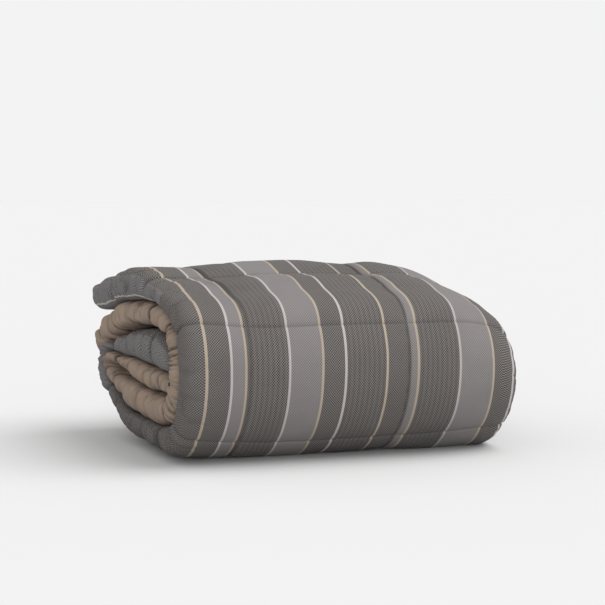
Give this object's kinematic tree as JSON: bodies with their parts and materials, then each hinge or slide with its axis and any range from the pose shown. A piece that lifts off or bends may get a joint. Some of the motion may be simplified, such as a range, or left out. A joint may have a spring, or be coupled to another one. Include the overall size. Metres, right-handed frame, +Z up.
{
  "type": "duvet",
  "caption": "Box-quilted duvet with woven stripes and a plain reverse, folded across its width and rolled up along its length into a bundle that lies on a flat surface.",
  "frame": {"origin": "the middle of the folded bundle's footprint, on the surface it lies on", "axes": "+X along the bundle towards its right end, -Y towards its striped front, +Z up"},
  "size_m": [0.62, 0.5828, 0.3201],
  "materials": {
    "duvet_cloth": "matt woven cotton, striped face and plain reverse"
  },
  "bodies": {
    "root": {"duvet": "duvet_cloth"}
  },
  "joints": []
}
